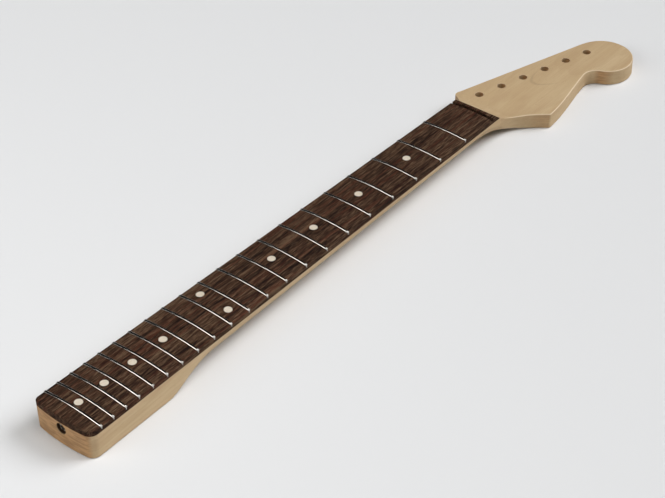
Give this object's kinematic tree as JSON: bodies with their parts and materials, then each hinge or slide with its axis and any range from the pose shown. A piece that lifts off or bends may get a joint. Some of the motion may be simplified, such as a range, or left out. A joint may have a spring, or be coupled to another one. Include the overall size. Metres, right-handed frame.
{
  "type": "electric guitar neck",
  "caption": "Unfinished bolt-on electric guitar neck with a dark fingerboard, metal frets, round inlays and a headstock drilled for tuners in a row.",
  "frame": {"origin": "on the flat back of the heel, at the middle of its four screw holes", "axes": "+X along the neck to the headstock, +Y to the bass side, +Z out of the fingerboard"},
  "size_m": [0.65, 0.0928, 0.0275],
  "materials": {
    "maple": "raw sanded maple, unfinished",
    "rosewood": "dark open-grained rosewood, bare",
    "fret_wire": "polished nickel-silver fret wire",
    "inlay": "off-white inlay material sanded flush",
    "rod_steel": "plain steel, slightly dulled"
  },
  "bodies": {
    "neck": {"neck_blank": "maple", "fingerboard": "rosewood", "fret_01": "fret_wire", "fret_02": "fret_wire", "fret_03": "fret_wire", "fret_04": "fret_wire", "fret_05": "fret_wire", "fret_06": "fret_wire", "fret_07": "fret_wire", "fret_08": "fret_wire", "fret_09": "fret_wire", "fret_10": "fret_wire", "fret_11": "fret_wire", "fret_12": "fret_wire", "fret_13": "fret_wire", "fret_14": "fret_wire", "fret_15": "fret_wire", "fret_16": "fret_wire", "fret_17": "fret_wire", "fret_18": "fret_wire", "fret_19": "fret_wire", "fret_20": "fret_wire", "fret_21": "fret_wire", "position_dot_03": "inlay", "position_dot_05": "inlay", "position_dot_07": "inlay", "position_dot_09": "inlay", "position_dot_12_treble": "inlay", "position_dot_12_bass": "inlay", "position_dot_15": "inlay", "position_dot_17": "inlay", "position_dot_19": "inlay", "position_dot_21": "inlay", "side_dot_03": "inlay", "side_dot_05": "inlay", "side_dot_07": "inlay", "side_dot_09": "inlay", "side_dot_12_heelward": "inlay", "side_dot_12_nutward": "inlay", "side_dot_15": "inlay", "side_dot_17": "inlay", "side_dot_19": "inlay", "side_dot_21": "inlay", "truss_rod": "rod_steel", "truss_rod_washer": "rod_steel", "truss_rod_anchor": "rod_steel", "channel_fillet": "maple"},
    "truss_nut": {"truss_rod_nut": "rod_steel"}
  },
  "joints": [
    {"name": "truss_rod_adjust", "type": "hinge", "parent": "neck", "child": "truss_nut", "pos_m": [-0.0305, 0, 0.015], "axis": [1, 0, 0], "range_deg": [-360, 180]}
  ]
}
